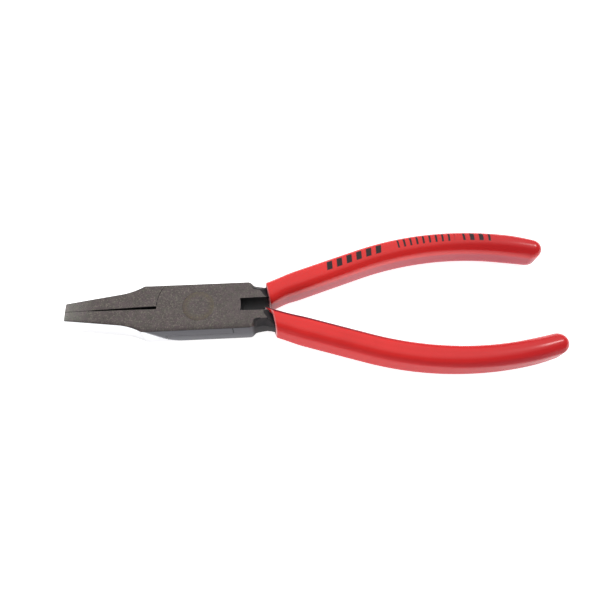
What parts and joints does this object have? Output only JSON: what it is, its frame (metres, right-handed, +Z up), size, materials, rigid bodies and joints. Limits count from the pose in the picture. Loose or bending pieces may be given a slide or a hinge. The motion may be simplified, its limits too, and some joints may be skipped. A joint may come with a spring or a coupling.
{
  "type": "flat nose glass breaking pliers",
  "caption": "Slim flat-nose pliers for breaking out scored glass, with tapered flat jaws, a flush riveted lap joint and bowed handles in red dipped grips.",
  "frame": {"origin": "centre of the footprint, on the surface that the grips lie on, with the pliers closed and lying flat", "axes": "+X from the jaws to the handles, +Y towards the upper half's handle, +Z up out of the surface"},
  "size_m": [0.1567, 0.048, 0.0116],
  "materials": {
    "blackened_steel": "blackened, satin, worn lighter at the tip and edges",
    "rivet_steel": "blackened, ground flush",
    "dipped_plastic": "glossy dipped coat"
  },
  "bodies": {
    "lower": {"lower_half": "blackened_steel", "lower_grip": "dipped_plastic"},
    "upper": {"upper_half": "blackened_steel", "upper_grip": "dipped_plastic", "joint_rivet": "rivet_steel"}
  },
  "joints": [
    {"name": "pivot", "type": "hinge", "parent": "lower", "child": "upper", "pos_m": [-0.0373, 0, 0.0058], "axis": [0, 0, 1], "range_deg": [0, 40]}
  ]
}
